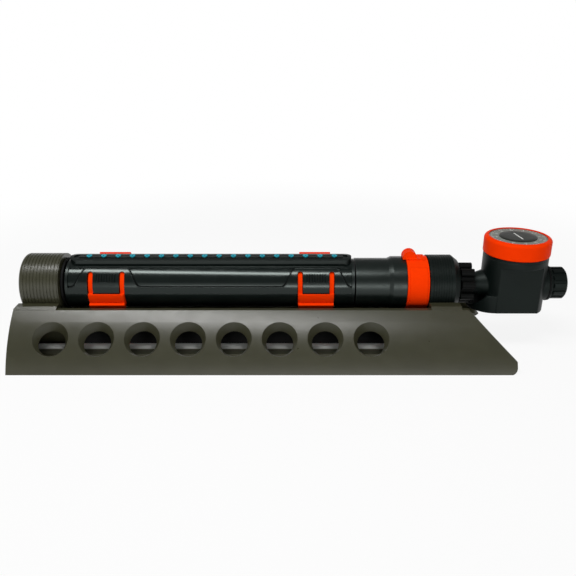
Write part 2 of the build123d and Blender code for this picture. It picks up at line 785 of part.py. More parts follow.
def turbine():
    """Turbine wheel with slanted blades and its pinion."""
    bore = PIN_R + RUN
    mid = (TURBINE_X0 + TURBINE_X1) / 2
    body = gear(PINION_T, MESH_X[3], MESH_X[3] + GEAR_W, bore)
    body = body + ring(GEAR_HUB_R, bore, MESH_X[3], TURBINE_X0 + 1)
    body = body + ring(HUB_R, bore, TURBINE_X0, TURBINE_X1)
    blade = Rot(0, 0, BLADE_SLANT) * Box(BLADE_LENGTH, BLADE_THICK, BLADE_R - BLADE_IN)
    blade = Pos(mid, 0, (BLADE_R + BLADE_IN) / 2) * blade
    for i in range(BLADES):
        body = body + Rot(i * 360 / BLADES, 0, 0) * blade
    return body


def control_ring():
    """Control ring with a raised front pad, a crown and the round thumb lever with its notch."""
    body = ring(RING_R, RING_RI, RING_X0, RING_X1)
    body = body + sector(RING_R - FUSE, PAD_R, PAD_LOW, PAD_HIGH, RING_X0 + PAD_INSET, RING_X1 - PAD_INSET)
    low, high = 90 - CROWN_HALF, 90 + CROWN_HALF
    body = body + sector(RING_R - FUSE, CROWN_R, low, high, RING_X0, RING_X1 - CROWN_INSET)
    lever = Pos(LEVER_X, 0, LEVER_TOP - LEVER_R) * Rot(90, 0, 0) * Cylinder(LEVER_R, 2 * LEVER_HALF)
    lever = lever - cyl(HOUSE_R2 + FUSE, LEVER_X - 2 * LEVER_R, RING_X0)
    lever = lever - cyl(RING_R - FUSE, RING_X0, RING_X1)
    notch = Pos(LEVER_NOTCH_X, 0, CROWN_R + 1) * Rot(90, 0, 0) * Cylinder(LEVER_NOTCH_R, 4 * LEVER_HALF)
    return body + lever - notch


def throttle_sleeve():
    """Ported sleeve inside the neck, turned by the control ring through a lug."""
    mid = (SLEEVE_X0 + SLEEVE_X1) / 2
    body = ring(SLEEVE_R, SLEEVE_RI, SLEEVE_X0, SLEEVE_X1)
    lug = sector(SLEEVE_RI + FUSE, RING_RI, 270 - LUG_HALF, 270 + LUG_HALF, mid - LUG_W / 2, mid + LUG_W / 2)
    return body + lug


def inlet_cap():
    """Finely grooved end cap with the threaded inlet spigot."""
    taper_x = CAP_R_X1 - CAP_R_TAPER
    body = cyl(CAP_R_R, CAP_R_X0, taper_x) + cone(CAP_R_R, CAP_R_END_R, taper_x, CAP_R_X1)
    body = body + cyl(SPIGOT_R, CAP_R_X1 - 1, SPIGOT_X1)
    body = body - cyl(NECK_R, CAP_R_X0 - 1, NECK_X1) - cyl(INLET_ROOM_R, NECK_X1 - 1, INLET_ROOM_X1)
    for i in range(CAP_R_GROOVES):
        x = CAP_R_GROOVE_X + i * CAP_R_GROOVE_PITCH
        body = body - ring(CAP_R_R + 1, CAP_R_R - CAP_R_GROOVE_DEPTH, x, x + CAP_R_GROOVE_W)
    return body - cyl(SPIGOT_RI, NECK_X1, SPIGOT_X1 + 1)


def inlet_filter():
    """Thin filter cup seated in the spigot."""
    x0, x1 = INLET_ROOM_X1, SPIGOT_X1 - FILTER_BACK
    r = SPIGOT_RI - FILTER_GAP
    return cyl(r, x0, x1) - cyl(r - FILTER_WALL, x0 + FILTER_WALL, x1 + 1)


def lobed_nut():
    """Union nut with rounded finger lobes."""
    body = cyl(NUT_CORE_R, NUT_X0, NUT_X1)
    for i in range(NUT_LOBES):
        y, z = polar(NUT_LOBE_AT, NUT_LOBE_PHASE + i * 360 / NUT_LOBES)
        body = body + cyl(NUT_LOBE_R, NUT_X0, NUT_X1, y, z)
    body = body - cyl(SPIGOT_R + NUT_GAP, NUT_X0 - 1, NUT_X1 - NUT_LIP)
    return body - cyl(TAIL_R + NUT_GAP, NUT_X0, NUT_X1 + 1)


def timer_shell():
    """Outside of the timer housing: a drum with flat front and rear, and a round scoop at its foot."""
    body = disc(DRUM_R, BODY_Z0, DRUM_Z1)
    for sign in (1, -1):
        x0, x1 = TIMER_X - DRUM_R - 1, TIMER_X + DRUM_R + 1
        body = body - side_block(sign, x0, x1, FLAT_Y, DRUM_R + 1, BODY_Z0 - 1, FLAT_Z1)
    fork = Pos(FORK_X0 + FORK_R, 0, (BODY_Z0 + FORK_Z1) / 2) * Cylinder(FORK_R, FORK_Z1 - BODY_Z0)
    return body + (fork - on_axis(cyl(FORK_ROOM_R, FORK_X0 - 1, FORK_X1)))


def timer_body():
    """Timer housing with the outlet tail, the valve room, the clock chamber and the inlet neck."""
    tail_x0 = SPIGOT_X1 + GASKET
    tail = cyl(TAIL_FLANGE_R, tail_x0, tail_x0 + TAIL_FLANGE) + cyl(TAIL_R, tail_x0, BELL_X0)
    tail = tail + cone(TAIL_R, BELL_R, BELL_X0, BELL_X1) + cyl(BELL_R, BELL_X1, TIMER_X)
    neck = cyl(INLET_R, TIMER_X, INLET_X1) + cyl(STUB_R, INLET_X1 - 1, STUB_X1)
    neck = neck + cyl(COLLAR_R, STUB_X1, COLLAR_X1)
    groove_end = INLET_GROOVE_X + INLET_GROOVE_W
    neck = neck - ring(INLET_R + 1, INLET_R - INLET_GROOVE_DEPTH, INLET_GROOVE_X, groove_end)
    body = timer_shell() + on_axis(tail) + on_axis(neck)
    body = body - on_axis(cyl(FLOW_R, tail_x0 - 1, COLLAR_X1 + 1))
    body = body - disc(VALVE_ROOM_R, VALVE_ROOM_Z0, VALVE_ROOM_Z1)
    body = body - disc(CHAMBER_R, CHAMBER_Z, DRUM_Z1 + 1)
    return body - disc(STEM_R + RUN, VALVE_ROOM_Z1 - 1, CHAMBER_Z + 1)


def dial_ring():
    """Grip ring of the timer dial with rounded edges."""
    body = disc(DIAL_R, DIAL_Z0, DIAL_Z1)
    body = fillet(body.edges().sort_by(Axis.Z)[-1], DIAL_ROUND_TOP)
    body = fillet(body.edges().sort_by(Axis.Z)[0], DIAL_ROUND_LOW)
    return body - disc(DIAL_RI, DIAL_Z0 - 1, DIAL_Z1 + 1)


def hose_nut():
    """Hose nut with broad grip ribs and chamfered ends that turns on the inlet neck."""
    body = cyl(HOSE_CORE_R, HOSE_X0, HOSE_X1)
    for i in range(HOSE_RIBS):
        a = i * 360 / HOSE_RIBS
        body = body + sector(HOSE_CORE_R - 1, HOSE_R, a, a + HOSE_RIB_ANGLE, HOSE_X0, HOSE_X1)
    small = HOSE_R - HOSE_CHAMFER
    mid = (HOSE_X0 + HOSE_X1) / 2
    outline = cone(small, HOSE_R, HOSE_X0, HOSE_X0 + HOSE_CHAMFER) + cyl(HOSE_R, HOSE_X0 + HOSE_CHAMFER, mid)
    outline = outline + cyl(HOSE_R, mid, HOSE_X1 - HOSE_CHAMFER)
    outline = outline + cone(HOSE_R, small, HOSE_X1 - HOSE_CHAMFER, HOSE_X1)
    body = body & outline
    body = body - cyl(HOSE_NECK_R, HOSE_X0 - 1, HOSE_X1 + 1) - cyl(HOSE_ROOM_R, HOSE_ROOM_X0, HOSE_X1 + 1)
    return body - cyl(HOSE_BORE, HOSE_BORE_X0, HOSE_X1 + 1)


save("front_skid", skid(-1))
save("rear_skid", skid(1))
save("left_pedestal", left_pedestal())
save("right_pedestal", right_pedestal())
save("keel", keel())
save("left_bearing_cap", on_axis(left_cap()))
save("left_bush", on_axis(ring(BUSH_R, JOURNAL_R + RUN, BUSH_X0, CAP_L_X1)))
save("wiper_ring", on_axis(wiper()))
save("water_pipe", on_tube(water_pipe()))
save("upper_shell", on_tube(upper_shell()))
save("lower_shell", on_tube(half_shell(180.0, 360.0, [])))
save("nozzle_strip", on_tube(nozzle_strip()))
save("nozzles", *nozzles())
save("left_width_slider", on_tube(slider(SLIDER_XS[0])))
save("right_width_slider", on_tube(slider(SLIDER_XS[1])))
save("drive_housing", on_axis(drive_housing()))
save("gear_plate", on_axis(ported_plate(PLATE_X0, PLATE_X1, PLATE_BORE, PLATE_X0 + PIN_SEAT)))
save("middle_plate", on_axis(ported_plate(MID_PLATE_X0, MID_PLATE_X1, MID_PLATE_BORE, MID_PLATE_X0 - 1)))
save("jet_plate", on_axis(jet_plate()))
save("reverser_flap", on_axis(reverser_flap()))
save("gear_pins", *gear_pins())
save("output_gear", on_axis(output_gear()))
save("second_lay_gear", Pos(0, 0, CENTRE_D) * on_axis(compound_gear(MESH_X[0])))
save("idler_gear", on_axis(compound_gear(MESH_X[1])))
save("first_lay_gear", Pos(0, 0, CENTRE_D) * on_axis(compound_gear(MESH_X[2])))
save("turbine", on_axis(turbine()))
save("control_ring", on_axis(control_ring()))
save("throttle_sleeve", on_axis(throttle_sleeve()))
save("inlet_cap", on_axis(inlet_cap()))
save("inlet_filter", on_axis(inlet_filter()))
save("union_gasket", on_axis(ring(GASKET_R, FLOW_R, SPIGOT_X1, SPIGOT_X1 + GASKET)))
save("lobed_nut", on_axis(lobed_nut()))
save("timer_body", timer_body())
save("timer_lid", disc(DRUM_R, DRUM_Z1, LID_Z1, SPINDLE_R + RUN))
save("timer_clockwork", disc(CLOCK_R, CLOCK_Z0, CLOCK_Z1, SPINDLE_R + RUN))
save("dial_ring", dial_ring())
save("dial_face", disc(DIAL_RI, FACE_Z0, FACE_Z1))
save("dial_spindle", disc(SPINDLE_R, SPINDLE_Z0, FACE_Z0))
save("valve_stem", disc(STEM_R, STEM_Z0, STEM_Z1) + disc(VALVE_R, VALVE_Z0, VALVE_Z1))
save("valve_seat", disc(VALVE_ROOM_R, VALVE_ROOM_Z0, SEAT_Z1, SEAT_BORE))
save("hose_nut", on_axis(hose_nut()))
save("hose_washer", on_axis(ring(COLLAR_R, FLOW_R, COLLAR_X1, HOSE_BORE_X0)))
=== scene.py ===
"""Looks of an oscillating lawn sprinkler with a water timer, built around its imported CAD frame."""
import json
import math

import bmesh
import bpy
from mathutils import Matrix, Vector


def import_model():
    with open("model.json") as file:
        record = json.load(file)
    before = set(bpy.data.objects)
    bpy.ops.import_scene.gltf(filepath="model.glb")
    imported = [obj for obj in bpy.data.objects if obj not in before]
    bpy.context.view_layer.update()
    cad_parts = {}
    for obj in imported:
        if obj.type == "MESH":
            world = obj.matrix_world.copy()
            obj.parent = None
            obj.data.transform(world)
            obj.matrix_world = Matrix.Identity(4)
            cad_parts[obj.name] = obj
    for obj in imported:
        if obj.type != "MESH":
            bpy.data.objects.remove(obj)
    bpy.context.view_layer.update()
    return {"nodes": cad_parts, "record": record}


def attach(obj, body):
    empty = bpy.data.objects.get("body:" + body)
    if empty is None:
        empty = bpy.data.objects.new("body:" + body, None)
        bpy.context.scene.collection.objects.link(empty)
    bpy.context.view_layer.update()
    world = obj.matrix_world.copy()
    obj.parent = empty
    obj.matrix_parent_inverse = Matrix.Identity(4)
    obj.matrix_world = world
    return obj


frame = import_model()
NODES = frame["nodes"]
MM = 0.001

# Camera at the photograph's angle
CAMERA_PLACE = Vector((-6.2, -643.8, 319.8)) * MM
CAMERA_PITCH = 22.0
CAMERA_LENS = 40.6
CAMERA_SENSOR = 36.0

# Printed dial, millimetres and degrees
DIAL_CENTRE = Vector((232.3, 0, 117.0))
DIAL_SEGMENTS = 72
DISC_PROFILE = ((19.0, 0.0), (19.0, 0.35), (18.6, 0.6), (14.0, 0.72), (0.4, 0.76))
MARK_COUNT = 48
MARKS_PER_NUMBER = 4
MARK_OUTER_R = 27.6
MARK_HEIGHT = 0.08
LONG_MARK = (3.0, 0.9)
SHORT_MARK = (1.8, 0.5)
POINTER_SIZE = (21.5, 1.7, 0.1)
POINTER_LIFT = 0.74
POINTER_ANGLE = -83.0
NUMBER_STEP = 10
NUMBER_R = 22.2
NUMBER_SIZE = 3.4
NUMBER_DEPTH = 0.04
NUMBER_LIFT = 0.05

# Panel lines on the tube, millimetres and degrees; Z is measured from the tube's axis before its tilt
AXIS_Z = 66.0
TUBE_R = 25.6
TUBE_TILT = 6.0
TUBE_ENDS = (-232.6, 59.5)
SLIDER_XS = (-193.5, 22.7)
PANEL_Z = (7.06, 22.6)
ARCH_HALF = (36.4, 19.9)
SWEEP_STEPS = 16
LINE_R = 0.5
LINE_SIDES = 8
# Inset of the matte dark line of painted shade in the recess corner.
SHADE_LINE_INSET = 0.8

# Ribs on the floor of the base, millimetres
RIB_Y = 38.0
RIB_R = 4.0
RIB_OUTER_Y = 41.0
RIB_CENTRE_Z = 8.5
RIB_FOOT_Z = 2.3
RIB_START_X = -241.7
RIB_ROUND_X = -265.0
RIB_ARC = [math.radians(15 * i) for i in range(13)]
RIB_END_STEPS = 6
RIB_END_HEIGHT = 0.6

# Ring, screws and thread of the timer, millimetres
NECK_RING_X = 266.7
NECK_RING_R = 18.2
NECK_CORD_R = 0.75
NECK_SEGMENTS = 72
NECK_SIDES = 12
TIMER_FOOT_Z = 41.0
SCREW_SPOTS = ((215.3, -15.0), (249.3, -15.0), (215.3, 15.0), (249.3, 15.0))
SCREW_HEAD = 1.4
SCREW_PROFILE = ((0.4, 0.0), (2.2, 0.0), (2.9, 0.5), (3.0, 1.0), (3.0, SCREW_HEAD), (0.4, SCREW_HEAD))
SCREW_SEGMENTS = 32
SCREW_SLOT = (3.4, 0.8, -0.05)
THREAD_X = 278.2
THREAD_R = 13.15
THREAD_PITCH = 1.81
THREAD_TURNS = 3
THREAD_STEPS = 60
THREAD_DEPTH = 0.75
THREAD_ROOT_HALF = 0.7
THREAD_CREST_HALF = 0.15
THREAD_LEAST = 0.05

# Colours, linear
OLIVE = (0.037, 0.0365, 0.0195)
BLACK = (0.0030, 0.0052, 0.0046)
DEEP_BLACK = (0.0018, 0.0022, 0.0020)
RUBBER = (0.004, 0.004, 0.004)
ORANGE = (0.92, 0.040, 0.0010)
TEAL = (0.018, 0.330, 0.430)
DIAL_GREY = (0.190, 0.205, 0.180)
DIAL_DARK = (0.015, 0.016, 0.012)
PRINT_WHITE = (0.72, 0.73, 0.70)
GEAR_WHITE = (0.62, 0.60, 0.54)
STEEL = (0.52, 0.52, 0.51)
# Painted light of the base floor: painted shade on the floor, brightened olive on the rib sides, a pale
# painted highlight on the rib tops.
FLOOR_SHADE_BLACK = (0.002, 0.002, 0.002)
RIB_SIDE_PAINTED_LIGHT = (0.120, 0.120, 0.085)
RIB_TOP_HIGHLIGHT = (0.88, 0.90, 0.86)
FLOOR_WHITE = (0.84, 0.84, 0.84)
WHITE = (1.0, 1.0, 1.0)
COOL = (0.88, 1.0, 0.95)
WARM = (1.0, 0.30, 0.06)

# Finish of the materials: noise scales per metre, shares and millimetres
MOTTLE_SCALE = 35.0
GLOSS_SCALE = 120.0
GLOSS_SPREAD = (-0.06, 0.08)
# Painted shade: within this reach, ambient occlusion mapped from these limits lowers the specular level in
# grooves and corners to this share.
PAINTED_SHADE_REACH = 2.0
PAINTED_SHADE_LIMITS = (0.35, 0.85)
SHINE_IN_PAINTED_SHADE = 0.15
GRAIN_STRENGTH = 0.35
SHARP_EDGE = 0.45
SOFT_EDGE = 2.2
NODE_SAMPLES = 4
STEEL_TONE_SCALE = 60.0
STEEL_GLOSS_SCALE = 900.0
STEEL_TONES = (0.85, 1.1)
# Height bands of painted light on the base floor, as shares of the rib top height: painted shade up to the
# first, brightened olive at the side stops, painted highlight from the last.
SHADE_ZONE_END = 0.28
LIT_SIDE_ZONE = (0.36, 0.64)
HIGHLIGHT_ZONE_START = 0.72

# Studio, metres and watts
FLOOR_R = 2.2
RIM_R = 0.8
RIM_STEPS = 12
RIM_TOP = 1.1
FLOOR_SIDES = 96
FLOOR_ROUGHNESS = 0.9
FLOOR_SPECULAR = 0.1
FADE_REACH = (0.40, 0.85)
NEAR_WHITE = 0.88
WORLD_STRENGTH = 0.25
SOFTBOX = {"place": (-0.25, -0.38, 1.18), "target": (-0.05, 0, 0.06), "size": (0.95, 0.20), "watts": 11.0}
FILL = {"place": (0.1, -1.5, 0.16), "target": (0, 0, 0.05), "size": (1.2, 0.2), "watts": 5.5}


def node(tree, kind, place, **inputs):
    """Adds a shader node and sets its unlinked inputs by name."""
    made = tree.nodes.new(kind)
    made.location = place
    for name, value in inputs.items():
        made.inputs[name.replace("_", " ")].default_value = value
    return made


def operator(tree, kind, operation, place):
    """Adds a math or vector math node set to an operation."""
    made = node(tree, kind, place)
    made.operation = operation
    return made


def new_material(name):
    """Material with a principled shader; returns it with its tree and shader."""
    material = bpy.data.materials.new(name)
    material.use_nodes = True
    tree = material.node_tree
    return material, tree, tree.nodes["Principled BSDF"]


def speckle(tree, scale, detail, place):
    """Noise in object coordinates."""
    coordinates = node(tree, "ShaderNodeTexCoord", (place[0] - 200, place[1]))
    noise = node(tree, "ShaderNodeTexNoise", place, Scale=scale, Detail=detail)
    tree.links.new(coordinates.outputs["Object"], noise.inputs["Vector"])
    return noise.outputs["Fac"]


def ramp(tree, source, place, **limits):
    """Maps a value from one range onto another; both ranges are 0 to 1 unless given."""
    made = node(tree, "ShaderNodeMapRange", place, **limits)
    tree.links.new(source, made.inputs["Value"])
    return made.outputs["Result"]


def scaled(tree, colour, factor, place):
    """Colour times a value."""
    made = operator(tree, "ShaderNodeVectorMath", "SCALE", place)
    made.inputs[0].default_value = colour
    tree.links.new(factor, made.inputs["Scale"])
    return made.outputs["Vector"]


def painted_groove_shade(tree, place):
    """Painted shade from ambient occlusion: a value that falls from 1 on open faces towards 0 in grooves and
    corners.
    """
    hidden = node(tree, "ShaderNodeAmbientOcclusion", place, Distance=PAINTED_SHADE_REACH * MM)
    hidden.samples = NODE_SAMPLES
    low, high = PAINTED_SHADE_LIMITS
    return ramp(tree, hidden.outputs["AO"], (place[0] + 200, place[1]), From_Min=low, From_Max=high)


def moulded(name, colour, roughness, grain, depth, mottling, specular, tint=WHITE, edge=SHARP_EDGE):
    """Moulded plastic or rubber: faint mottling, painted shade that dulls the reflection in grooves and
    corners, uneven gloss, a fine grain and soft edges.
    """
    material, tree, shader = new_material(name)
    mottle = speckle(tree, MOTTLE_SCALE, 4.0, (-900, 300))
    factor = ramp(tree, mottle, (-700, 300), To_Min=1.0 - mottling, To_Max=1.0 + mottling)
    tree.links.new(scaled(tree, colour, factor, (-500, 300)), shader.inputs["Base Color"])
    gloss = speckle(tree, GLOSS_SCALE, 3.0, (-900, 0))
    low, high = (roughness + change for change in GLOSS_SPREAD)
    tree.links.new(ramp(tree, gloss, (-700, 0), To_Min=low, To_Max=high), shader.inputs["Roughness"])
    # Painted shade: the specular level falls in grooves and corners.
    unshaded_share = painted_groove_shade(tree, (-900, 150))
    shine = ramp(tree, unshaded_share, (-500, 150), To_Min=SHINE_IN_PAINTED_SHADE * specular, To_Max=specular)
    tree.links.new(shine, shader.inputs["Specular IOR Level"])
    shader.inputs["Specular Tint"].default_value = (*tint, 1)
    texture = speckle(tree, grain, 2.0, (-900, -300))
    rounding = node(tree, "ShaderNodeBevel", (-700, -450), Radius=edge * MM)
    rounding.samples = NODE_SAMPLES
    bump = node(tree, "ShaderNodeBump", (-500, -300), Strength=GRAIN_STRENGTH, Distance=depth * MM)
    tree.links.new(texture, bump.inputs["Height"])
    tree.links.new(rounding.outputs["Normal"], bump.inputs["Normal"])
    tree.links.new(bump.outputs["Normal"], shader.inputs["Normal"])
    return material


def turned_steel(name, smooth, dull):
    """Bright steel whose polish varies between two roughnesses."""
    material, tree, shader = new_material(name)
    tone = speckle(tree, STEEL_TONE_SCALE, 3.0, (-900, 300))
    factor = ramp(tree, tone, (-700, 300), To_Min=STEEL_TONES[0], To_Max=STEEL_TONES[1])
    tree.links.new(scaled(tree, STEEL, factor, (-500, 300)), shader.inputs["Base Color"])
    shader.inputs["Metallic"].default_value = 1.0
    gloss = speckle(tree, STEEL_GLOSS_SCALE, 2.0, (-900, 0))
    tree.links.new(ramp(tree, gloss, (-700, 0), To_Min=smooth, To_Max=dull), shader.inputs["Roughness"])
    return material


def ribbed_floor(name):
    """Floor of the base with painted light: painted shade makes it nearly black between the ribs, a
    brightened olive outside them and on their sides stands in for light, and a painted highlight makes them
    pale along their tops.
    """
    material = moulded(name, WHITE, 0.45, 1500.0, 0.08, 0.15, 0.03)
    tree = material.node_tree
    shader = tree.nodes["Principled BSDF"]
    mottled = shader.inputs["Base Color"].links[0].from_socket
    position = node(tree, "ShaderNodeNewGeometry", (-1300, 700))
    split = node(tree, "ShaderNodeSeparateXYZ", (-1100, 700))
    tree.links.new(position.outputs["Position"], split.inputs["Vector"])
    height = ramp(tree, split.outputs["Z"], (-900, 700), From_Max=(RIB_CENTRE_Z + RIB_R) * MM)
    # Painted light by height: painted shade low down, brightened olive on the rib sides, a painted highlight
    # on the rib tops.
    painted_light_bands = node(tree, "ShaderNodeValToRGB", (-700, 700))
    stops = painted_light_bands.color_ramp.elements
    stops[0].color = (*FLOOR_SHADE_BLACK, 1)
    stops[0].position = SHADE_ZONE_END
    stops[1].color = (*RIB_TOP_HIGHLIGHT, 1)
    stops[1].position = HIGHLIGHT_ZONE_START
    for place in LIT_SIDE_ZONE:
        stops.new(place).color = (*RIB_SIDE_PAINTED_LIGHT, 1)
    tree.links.new(height, painted_light_bands.inputs["Fac"])
    # Brightened olive beyond the ribs is painted light.
    distance = operator(tree, "ShaderNodeMath", "ABSOLUTE", (-900, 950))
    tree.links.new(split.outputs["Y"], distance.inputs[0])
    low, high = RIB_OUTER_Y * MM, (RIB_OUTER_Y + 0.5) * MM
    outside = ramp(tree, distance.outputs["Value"], (-700, 950), From_Min=low, From_Max=high)
    brighter = operator(tree, "ShaderNodeVectorMath", "MAXIMUM", (-400, 700))
    tree.links.new(painted_light_bands.outputs["Color"], brighter.inputs[0])
    tree.links.new(scaled(tree, RIB_SIDE_PAINTED_LIGHT, outside, (-500, 950)), brighter.inputs[1])
    painted = operator(tree, "ShaderNodeVectorMath", "MULTIPLY", (-300, 500))
    tree.links.new(brighter.outputs["Vector"], painted.inputs[0])
    tree.links.new(mottled, painted.inputs[1])
    tree.links.new(painted.outputs["Vector"], shader.inputs["Base Color"])
    return material


# Moulded materials: colour, roughness, grains per metre, grain depth, mottling, specular level, tint, edge
MOULDED = {
    "olive_plastic": (OLIVE, 0.30, 1500.0, 0.12, 0.15, 0.5),
    "black_plastic": (BLACK, 0.30, 1800.0, 0.06, 0.25, 0.4, COOL),
    "black_gloss": (BLACK, 0.17, 1800.0, 0.04, 0.25, 0.36, COOL),
    "black_satin": (BLACK, 0.42, 1800.0, 0.08, 0.25, 0.16, COOL),
    "black_soft": (BLACK, 0.42, 1800.0, 0.08, 0.25, 0.16, COOL, SOFT_EDGE),
    "black_deep": (DEEP_BLACK, 0.50, 1800.0, 0.08, 0.25, 0.08),
    "orange_plastic": (ORANGE, 0.40, 1600.0, 0.06, 0.05, 0.02, WARM),
    "teal_rubber": (TEAL, 0.45, 1600.0, 0.06, 0.10, 0.2),
    "black_rubber": (RUBBER, 0.62, 1200.0, 0.08, 0.2, 0.12),
    "dial_grey": (DIAL_GREY, 0.40, 1500.0, 0.05, 0.08, 0.2),
    "dial_dark": (DIAL_DARK, 0.42, 1500.0, 0.05, 0.08, 0.2),
    "dial_print": (PRINT_WHITE, 0.50, 1500.0, 0.03, 0.05, 0.2),
    "gear_plastic": (GEAR_WHITE, 0.40, 1500.0, 0.05, 0.05, 0.2),
}
MATERIALS = {name: moulded(name, *row) for name, row in MOULDED.items()}
# Base floor material with painted shade and painted highlights.
MATERIALS["floor_painted_light"] = ribbed_floor("floor_painted_light")
MATERIALS["steel"] = turned_steel("steel", 0.22, 0.42)
MATERIALS["filter_mesh"] = turned_steel("filter_mesh", 0.35, 0.55)

# CAD nodes whose finish differs from their slot's material
FINISHES = {
    "upper_shell": "black_gloss",
    "timer_body": "black_soft",
    "timer_lid": "black_satin",
    "hose_nut": "black_satin",
    "inlet_cap": "black_satin",
    "lobed_nut": "black_deep",
    # The keel's floor and ribs carry painted shade and painted highlights.
    "keel": "floor_painted_light",
}


def dress_frame():
    """Gives each CAD node its material."""
    slots = {s["node"]: s["material_slot"] for s in frame["record"]["subparts"]}
    for name, thing in NODES.items():
        thing.data.materials.clear()
        thing.data.materials.append(MATERIALS[FINISHES.get(name, slots[name])])


def added(name, data):
    """Object that shows some data, linked into the scene."""
    thing = bpy.data.objects.new(name, data)
    bpy.context.scene.collection.objects.link(thing)
    return thing


def piece(name, mesh, material, body):
    """Links a finished mesh as a piece that rides a body and takes the named material."""
    thing = added(name, mesh)
    mesh.materials.append(MATERIALS[material])
    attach(thing, body)


def to_mesh(name, work, smooth=False):
    """Finishes a bmesh given in millimetres."""
    bmesh.ops.recalc_face_normals(work, faces=work.faces)
    bmesh.ops.scale(work, vec=(MM, MM, MM), verts=work.verts)
    for face in work.faces:
        face.smooth = smooth
    mesh = bpy.data.meshes.new(name)
    work.to_mesh(mesh)
    work.free()
    return mesh


def polar(r, a, z=0.0):
    """Point at a radius and an angle about Z."""
    return Vector((r * math.cos(a), r * math.sin(a), z))


def skin(work, rows):
    """Joins each row of points, taken as a loop, to the next."""
    for low, high in zip(rows, rows[1:]):
        for i in range(len(low)):
            k = (i + 1) % len(low)
            work.faces.new((low[i], low[k], high[k], high[i]))


def capped_skin(work, rows):
    """Skin over rows of points with a face at each end."""
    skin(work, rows)
    work.faces.new(rows[0])
    work.faces.new(rows[-1])


def spun(profile, place, segments):
    """Solid of revolution: profile of (radius, height) points about Z, moved into place."""
    work = bmesh.new()
    rows = []
    for r, h in profile:
        rows.append([work.verts.new(place + polar(r, math.tau * i / segments, h)) for i in range(segments)])
    capped_skin(work, rows)
    return work


def bar(work, place, angle, size):
    """Adds a flat printed bar with tapered edges to a bmesh."""
    half, side, height = size[0] / 2, size[1] / 2, size[2]
    base = [(-half, -side), (half, -side), (half, side), (-half, side)]
    turn = Matrix.Rotation(angle, 4, "Z")
    low = [work.verts.new(place + turn @ Vector((x, y, 0))) for x, y in base]
    high = [work.verts.new(place + turn @ Vector((x * 0.97, y * 0.85, height))) for x, y in base]
    capped_skin(work, [low, high])


def dial():
    """Dark middle disc, printed scale with numbers and the pointer line."""
    disc = spun(DISC_PROFILE, DIAL_CENTRE, DIAL_SEGMENTS)
    piece("dial_centre", to_mesh("dial_centre", disc, True), "dial_dark", "timer_dial")
    marks = bmesh.new()
    for i in range(MARK_COUNT):
        a = math.tau * i / MARK_COUNT
        length, width = SHORT_MARK if i % MARKS_PER_NUMBER else LONG_MARK
        bar(marks, DIAL_CENTRE + polar(MARK_OUTER_R - length / 2, a), a, (length, width, MARK_HEIGHT))
    piece("dial_scale", to_mesh("dial_scale", marks), "dial_print", "timer_dial")
    pointer = bmesh.new()
    bar(pointer, DIAL_CENTRE + Vector((0, 0, POINTER_LIFT)), math.radians(POINTER_ANGLE), POINTER_SIZE)
    piece("dial_pointer", to_mesh("dial_pointer", pointer), "dial_print", "timer_dial")
    count = MARK_COUNT // MARKS_PER_NUMBER
    for i in range(count):
        number(str(NUMBER_STEP * i), math.tau * i / count)


def number(text, a):
    """One printed number of the dial scale, at an angle and read from outside."""
    curve = bpy.data.curves.new("number_" + text, "FONT")
    curve.body = text
    curve.size = NUMBER_SIZE * MM
    curve.align_x = "CENTER"
    curve.align_y = "CENTER"
    curve.extrude = NUMBER_DEPTH * MM
    thing = added("number_" + text, curve)
    mesh = bpy.data.meshes.new_from_object(thing.evaluated_get(bpy.context.evaluated_depsgraph_get()))
    bpy.data.objects.remove(thing)
    spot = DIAL_CENTRE + polar(NUMBER_R, a, NUMBER_LIFT)
    mesh.transform(Matrix.Translation(spot * MM) @ Matrix.Rotation(a + math.pi / 2, 4, "Z"))
    mesh.materials.clear()
    piece("dial_number_" + text, mesh, "dial_print", "timer_dial")


def panel_outline():
    """Edge of the recessed tube panels as (X, Z) points: low along the tube, swept up over each slider."""
    low, high = PANEL_Z
    wide, narrow = ARCH_HALF
    bend = (wide + narrow) / 2
    sweep = []
    for i in range(SWEEP_STEPS + 1):
        t = i / SWEEP_STEPS
        back = 1 - t
        x = back ** 3 * wide + 3 * (back * back * t + back * t * t) * bend + t ** 3 * narrow
        sweep.append((x, low + (high - low) * (3 * back * t * t + t ** 3)))
    points = [(TUBE_ENDS[0], low)]
    for centre in SLIDER_XS:
        points += [(centre - x, z) for x, z in sweep]
        points += [(centre + x, z) for x, z in reversed(sweep)]
    return [p for p in points if p[0] <= TUBE_ENDS[1]]


def panel_line(name, side, inset, finish):
    """Fine bead that follows the panel edge on one flank of the tube as a moulded edge, or runs inset from
    it, where in matte black it is a line of painted shade in the recess corner.
    """
    turn = Matrix.Translation((0, 0, AXIS_Z)) @ Matrix.Rotation(math.radians(TUBE_TILT), 4, "X")
    path = [Vector((x, side * math.sqrt(TUBE_R ** 2 - z * z), z)) for x, z in panel_outline()]
    work = bmesh.new()
    rows = []
    for i, spot in enumerate(path):
        along = (path[min(i + 1, len(path) - 1)] - path[max(i - 1, 0)]).normalized()
        out = Vector((0, spot.y, spot.z)).normalized()
        across = along.cross(out).normalized()
        spot = spot + side * inset * across - 0.5 * inset * out
        row = []
        for k in range(LINE_SIDES):
            a = math.tau * k / LINE_SIDES
            row.append(work.verts.new(spot + LINE_R * (math.cos(a) * out + math.sin(a) * across)))
        rows.append(row)
    capped_skin(work, rows)
    bmesh.ops.transform(work, matrix=turn, verts=work.verts)
    piece(name, to_mesh(name, work, True), finish, "spray_tube")


